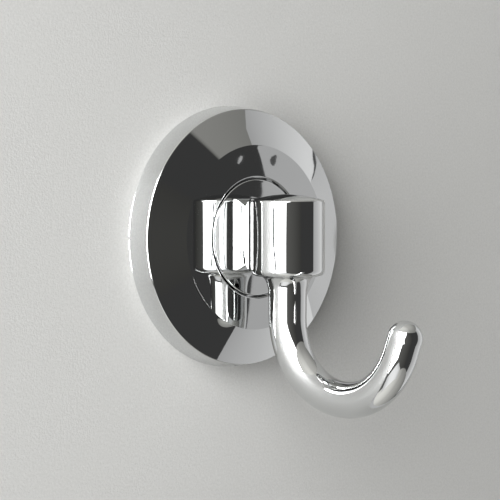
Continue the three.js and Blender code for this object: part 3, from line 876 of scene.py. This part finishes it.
@dataclass
class PhotoCamera:
    """The camera at the photograph's viewing angle, for a 500 by 500 frame."""

    azimuth: float = -42.24
    elevation: float = 2.19
    distance: float = 350.0
    pixels_per_mm: float = 4.73
    right_mm: float = 3.87
    up_mm: float = -2.85
    sensor: float = 36.0
    frame: int = 500
    clip_start_mm: float = 10.0

    def build(self) -> None:
        """Create the camera and make it the scene's camera."""
        a, e = np.radians(self.azimuth), np.radians(self.elevation)
        back = np.array([np.sin(a) * np.cos(e), -np.cos(a) * np.cos(e), np.sin(e)])
        right = np.array([np.cos(a), np.sin(a), 0.0])
        up = np.cross(back, right)
        place = (right * self.right_mm + up * self.up_mm + back * self.distance) * MM
        data = bpy.data.cameras.new("photo_camera")
        data.sensor_width = self.sensor
        data.lens = self.pixels_per_mm * self.distance / self.frame * self.sensor
        data.clip_start = self.clip_start_mm * MM
        made = bpy.data.objects.new("photo_camera", data)
        bpy.context.scene.collection.objects.link(made)
        rows = np.stack([right, up, back, place], -1).tolist()
        made.matrix_world = Matrix([*rows, [0, 0, 0, 1]])
        bpy.context.scene.camera = made


@dataclass
class Panel:
    """A curved studio panel: a stretch of a cylinder about the upright line through the origin.

    Attributes:
        name: Name of the panel.
        rows: From the bottom up, a row's elevation and the azimuths of its ends, seen from the origin.
        glow: Strengths at even steps from one end of a row to the other.
        radius: Distance from the upright line.
        fade: Elevations and the factor of the strength there, with a straight change between them.
        columns: Points along a row.
    """

    name: str
    rows: tuple[tuple[float, float, float], ...]
    glow: tuple[float, ...]
    radius: float = 900.0
    fade: tuple[tuple[float, float], ...] = ((0.0, 1.0),)
    columns: int = 49

    def build(self) -> None:
        """Make the panel: a point at azimuth a and elevation e is (R sin a, -R cos a, R tan e)."""
        rows = np.radians(np.array(self.rows))
        share = np.linspace(0, 1, self.columns)
        a = rows[:, 1:2] * (1 - share) + rows[:, 2:] * share
        z = np.tan(rows[:, :1]) + 0 * share
        grid = self.radius * np.stack([np.sin(a), -np.cos(a), z], -1)
        number = np.arange(grid.shape[0] * grid.shape[1]).reshape(grid.shape[:2])
        corners = [number[:-1, :-1], number[:-1, 1:], number[1:, 1:], number[1:, :-1]]
        quads = np.stack(corners, -1).reshape(-1, 4)
        made = bpy.data.objects.new(self.name, Skin(grid.reshape(-1, 3), quads.tolist()).mesh(self.name))
        bpy.context.scene.collection.objects.link(made)
        material = bpy.data.materials.new(self.name)
        material.use_nodes = True
        tree = material.node_tree
        tree.nodes.clear()
        across = np.interp(share, np.linspace(0, 1, len(self.glow)), self.glow)
        upward = np.interp([row[0] for row in self.rows], *zip(*self.fade))
        strength = np.outer(upward, across).ravel().astype(np.float32)
        made.data.attributes.new("glow", "FLOAT", "POINT").data.foreach_set("value", strength)
        level = node(tree, "ShaderNodeAttribute", attribute_name="glow")
        glow = node(tree, "ShaderNodeEmission", {"Strength": level.outputs["Fac"]})
        node(tree, "ShaderNodeOutputMaterial", {"Surface": glow.outputs[0]})
        made.data.materials.append(material)
        made.visible_camera = False


# What the polished chrome mirrors: the lit softbox with the seam of its cloth, a reflector and a wall on the
# right, the table below, and a lamp and a stand far off.
PANELS = (
    Panel("softbox",
          ((-29, -93, -46.5), (-2, -93, -47.8), (12, -93, -40), (30, -93, -32.5), (43.5, -93, -33)),
          (19.0, 14.2, 6.1, 2.6), 730.0, ((-29, 0.75), (0, 1.0), (43.5, 1.25))),
    Panel("softbox_seam",
          ((-4, -79.6, -73.4), (-3.1, -83.1, -76.9), (-2.6, -86.3, -80.1), (-2.1, -89.6, -83.4),
           (-0.5, -89.6, -83.4), (0.2, -93, -86.8)),
          (0.1, 0.1), 720.0),
    Panel("side_reflector",
          ((-47, 37, 84.6), (-30, 38.5, 84.6), (-5, 41.75, 84.6), (0, 42.3, 84.6), (0.4, 42.39, 84.6),
           (0.85, 42.34, 84.6), (1, 42.53, 84.6), (1.15, 42.53, 84.6), (1.9, 42.34, 84.6), (2.5, 42.15, 84.6),
           (3.5, 42.4, 84.6), (6, 43.2, 84.6), (12.6, 44.6, 84.45), (13.3, 44.7, 84.35), (14, 44.9, 84.1),
           (15.6, 45.2, 83.1), (18, 45.7, 82), (36, 49.5, 82)),
          (0.455, 0.535, 0.61, 0.71, 0.81), 900.0,
          ((-47, 1.04), (-30, 1.05), (-5, 1.1), (0, 1.12), (6, 1.1), (36, 1.0))),
    Panel("side_wall",
          ((-47, 84, 93), (12, 84, 93), (12.6, 84.75, 93), (13.3, 84.65, 93), (14, 84.4, 93), (15.6, 83.4, 93),
           (18, 82.3, 93), (36, 82.3, 93)),
          (0.60, 0.64, 0.62), 915.0),
    Panel("lit_table",
          ((-56, -88, -28), (-45, -88, -30), (-35, -88, -50)),
          (0.7, 1.12, 1.15, 1.05, 0.65)),
    Panel("far_lamp",
          ((1.78, 41.2, 41.27), (1.95, 41.22, 41.4), (2.15, 41.32, 41.43)),
          (0.5, 0.5), 880.0),
    Panel("far_stand",
          ((1.68, 42.85, 42.92), (1.8, 42.76, 43.0), (1.95, 42.73, 43.03), (2.12, 42.82, 43.06),
           (2.2, 42.97, 43.05)),
          (0.1, 0.1), 880.0),
)


@dataclass
class Studio:
    """The pale wall, the panels and the dim room round them."""

    wall_colour: str = "#C1C1BF"
    wall_dark: str = "#B5B5B3"
    wall_half: float = 240.0
    wall_behind: float = 0.03
    wall_clear_mm: float = 0.15
    wall_roughness: float = 0.5
    wall_specular: float = 0.2
    grain_mm: float = 0.5
    grain_height_mm: float = 0.06
    grain_detail: float = 4.0
    grain_roughness: float = 0.65
    grain_levels: tuple[float, float] = (0.3, 0.7)
    panels: tuple[Panel, ...] = PANELS
    ceiling: tuple[tuple[float, float], ...] = (
        (0.8015, 0.05), (0.806, 0.345), (0.86, 0.38), (0.895, 0.42), (0.93, 0.50), (0.97, 0.60), (1.0, 0.62))
    floor: tuple[tuple[float, float], ...] = (
        (0.0, 0.62), (0.03, 0.53), (0.065, 0.47), (0.09, 0.42), (0.13, 0.33), (0.135, 0.05))
    ceiling_slope: float = 0.15
    left_gain: float = 3.2
    right_gain: float = 0.55
    behind_from: float = 0.12
    lamp: str = "#FFFEF8"
    gloom: str = "#404040"
    behind_wall: str = "#C8C8C8"
    backdrop: str = "#E9E9E9"

    def build(self) -> None:
        """Build the wall, panels and world, and set the plain view."""
        bpy.context.scene.view_settings.view_transform = "Standard"
        for panel in self.panels:
            panel.build()
        self.build_wall()
        self.build_world()

    def build_wall(self) -> None:
        """Make the wall: the camera sees it from the front only, so views from behind show bracket and plugs.

        It is also clear to rays shorter than wall_clear_mm, so that light reaches the backs of the pieces on it.
        """
        h = self.wall_half
        y = self.wall_behind
        points = np.array([[-h, y, -h], [h, y, -h], [h, y, h], [-h, y, h]])
        made = bpy.data.objects.new("wall", Skin(points, [[0, 1, 2, 3]]).mesh("wall"))
        bpy.context.scene.collection.objects.link(made)
        material = bpy.data.materials.new("matt_wall_paint")
        material.use_nodes = True
        tree = material.node_tree
        shader = tree.nodes["Principled BSDF"]
        shader.inputs["Roughness"].default_value = self.wall_roughness
        shader.inputs["Specular IOR Level"].default_value = self.wall_specular
        where = node(tree, "ShaderNodeTexCoord").outputs["Object"]
        grain = noise(tree, where, self.grain_mm, self.grain_detail, self.grain_roughness)
        bump = node(tree, "ShaderNodeBump", {"Height": grain, "Distance": self.grain_height_mm * MM})
        tree.links.new(bump.outputs["Normal"], shader.inputs["Normal"])
        shades = linear(self.wall_dark), linear(self.wall_colour)
        paint = ramp(tree, grain, tuple(zip(self.grain_levels, shades)))
        tree.links.new(paint, shader.inputs["Base Color"])
        path = node(tree, "ShaderNodeLightPath")
        side = node(tree, "ShaderNodeNewGeometry")
        behind = node(tree, "ShaderNodeMath", operation="MULTIPLY",
                      inputs={0: path.outputs["Is Camera Ray"], 1: side.outputs["Backfacing"]})
        near = node(tree, "ShaderNodeMath", {0: path.outputs["Ray Length"], 1: self.wall_clear_mm * MM},
                    operation="LESS_THAN")
        clear = node(tree, "ShaderNodeMath", {0: behind.outputs[0], 1: near.outputs[0]}, operation="MAXIMUM")
        glass = node(tree, "ShaderNodeBsdfTransparent")
        mixed = node(tree, "ShaderNodeMixShader",
                     {0: clear.outputs[0], 1: shader.outputs[0], 2: glass.outputs[0]})
        tree.links.new(mixed.outputs[0], tree.nodes["Material Output"].inputs["Surface"])
        made.data.materials.append(material)

    def build_world(self) -> None:
        """Light the room in front of the wall, evenly behind it, and show the camera a pale backdrop.

        The floor's light goes by the height z and the ceiling's by z + 0.15 x, so that the ceiling's edge
        slopes. Both change straight from 1 in the middle to the left and right gain at the two sides.
        """
        world = bpy.data.worlds.new("studio_room")
        bpy.context.scene.world = world
        world.use_nodes = True
        tree = world.node_tree
        ground = tree.nodes["Background"]
        way = node(tree, "ShaderNodeTexCoord").outputs["Generated"]
        parts = node(tree, "ShaderNodeSeparateXYZ", {0: way})
        slope = node(tree, "ShaderNodeVectorMath", {0: way, 1: (self.ceiling_slope, 0.0, 1.0)},
                     operation="DOT_PRODUCT")
        above = node(tree, "ShaderNodeMapRange", {"Value": slope.outputs["Value"], "From Min": -1.0})
        below = node(tree, "ShaderNodeMapRange", {"Value": parts.outputs["Z"], "From Min": -1.0})
        left = node(tree, "ShaderNodeMapRange", {"Value": parts.outputs["X"], "From Min": -1.0, "From Max": 0.0,
                                                 "To Min": self.left_gain, "To Max": 1.0})
        right = node(tree, "ShaderNodeMapRange", {"Value": parts.outputs["X"], "To Min": 1.0,
                                                  "To Max": self.right_gain})
        spread = node(tree, "ShaderNodeMath", {0: left.outputs["Result"], 1: right.outputs["Result"]},
                      operation="MULTIPLY")
        ceiling = ramp(tree, above.outputs["Result"], self.ceiling)
        floor = ramp(tree, below.outputs["Result"], self.floor)

        def blend(kind: str, one: bpy.types.NodeSocket, other: Any) -> bpy.types.NodeSocket:
            """Two colours blended in full."""
            return node(tree, "ShaderNodeMixRGB", {0: 1.0, 1: one, 2: other}, blend_type=kind).outputs[0]

        lit = blend("MULTIPLY", blend("LIGHTEN", ceiling, floor), spread.outputs[0])
        front = blend("LIGHTEN", blend("MULTIPLY", lit, linear(self.lamp)), linear(self.gloom))
        behind = node(tree, "ShaderNodeMath", {0: parts.outputs["Y"], 1: self.behind_from},
                      operation="GREATER_THAN")
        room = node(tree, "ShaderNodeMixRGB", {0: behind.outputs[0], 1: front, 2: linear(self.behind_wall)})
        seen = node(tree, "ShaderNodeLightPath").outputs["Is Camera Ray"]
        mixed = node(tree, "ShaderNodeMixRGB", {0: seen, 1: room.outputs[0], 2: linear(self.backdrop)})
        tree.links.new(mixed.outputs[0], ground.inputs["Color"])


def main() -> None:
    """Load the frame, build and dress every piece, light the stage and log each piece's face count."""
    logging.basicConfig(level=logging.INFO, format="%(name)s: %(message)s")
    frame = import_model()
    PhotoCamera().build()
    bench = Bench()
    for assembly in (Rose(), HubAndBarrel(), HookArm(), WallBracket(), WallFixing(-1, "left"),
                     WallFixing(1, "right"), GrubScrew()):
        assembly.build(bench)
    hidden = ["arm_stud", "barrel_screw", "flat_washer", "spring_washer", "locating_pin"]
    bench.dress(frame["nodes"], hidden, STEEL)
    Studio().build()


if __name__ == "__main__":
    main()
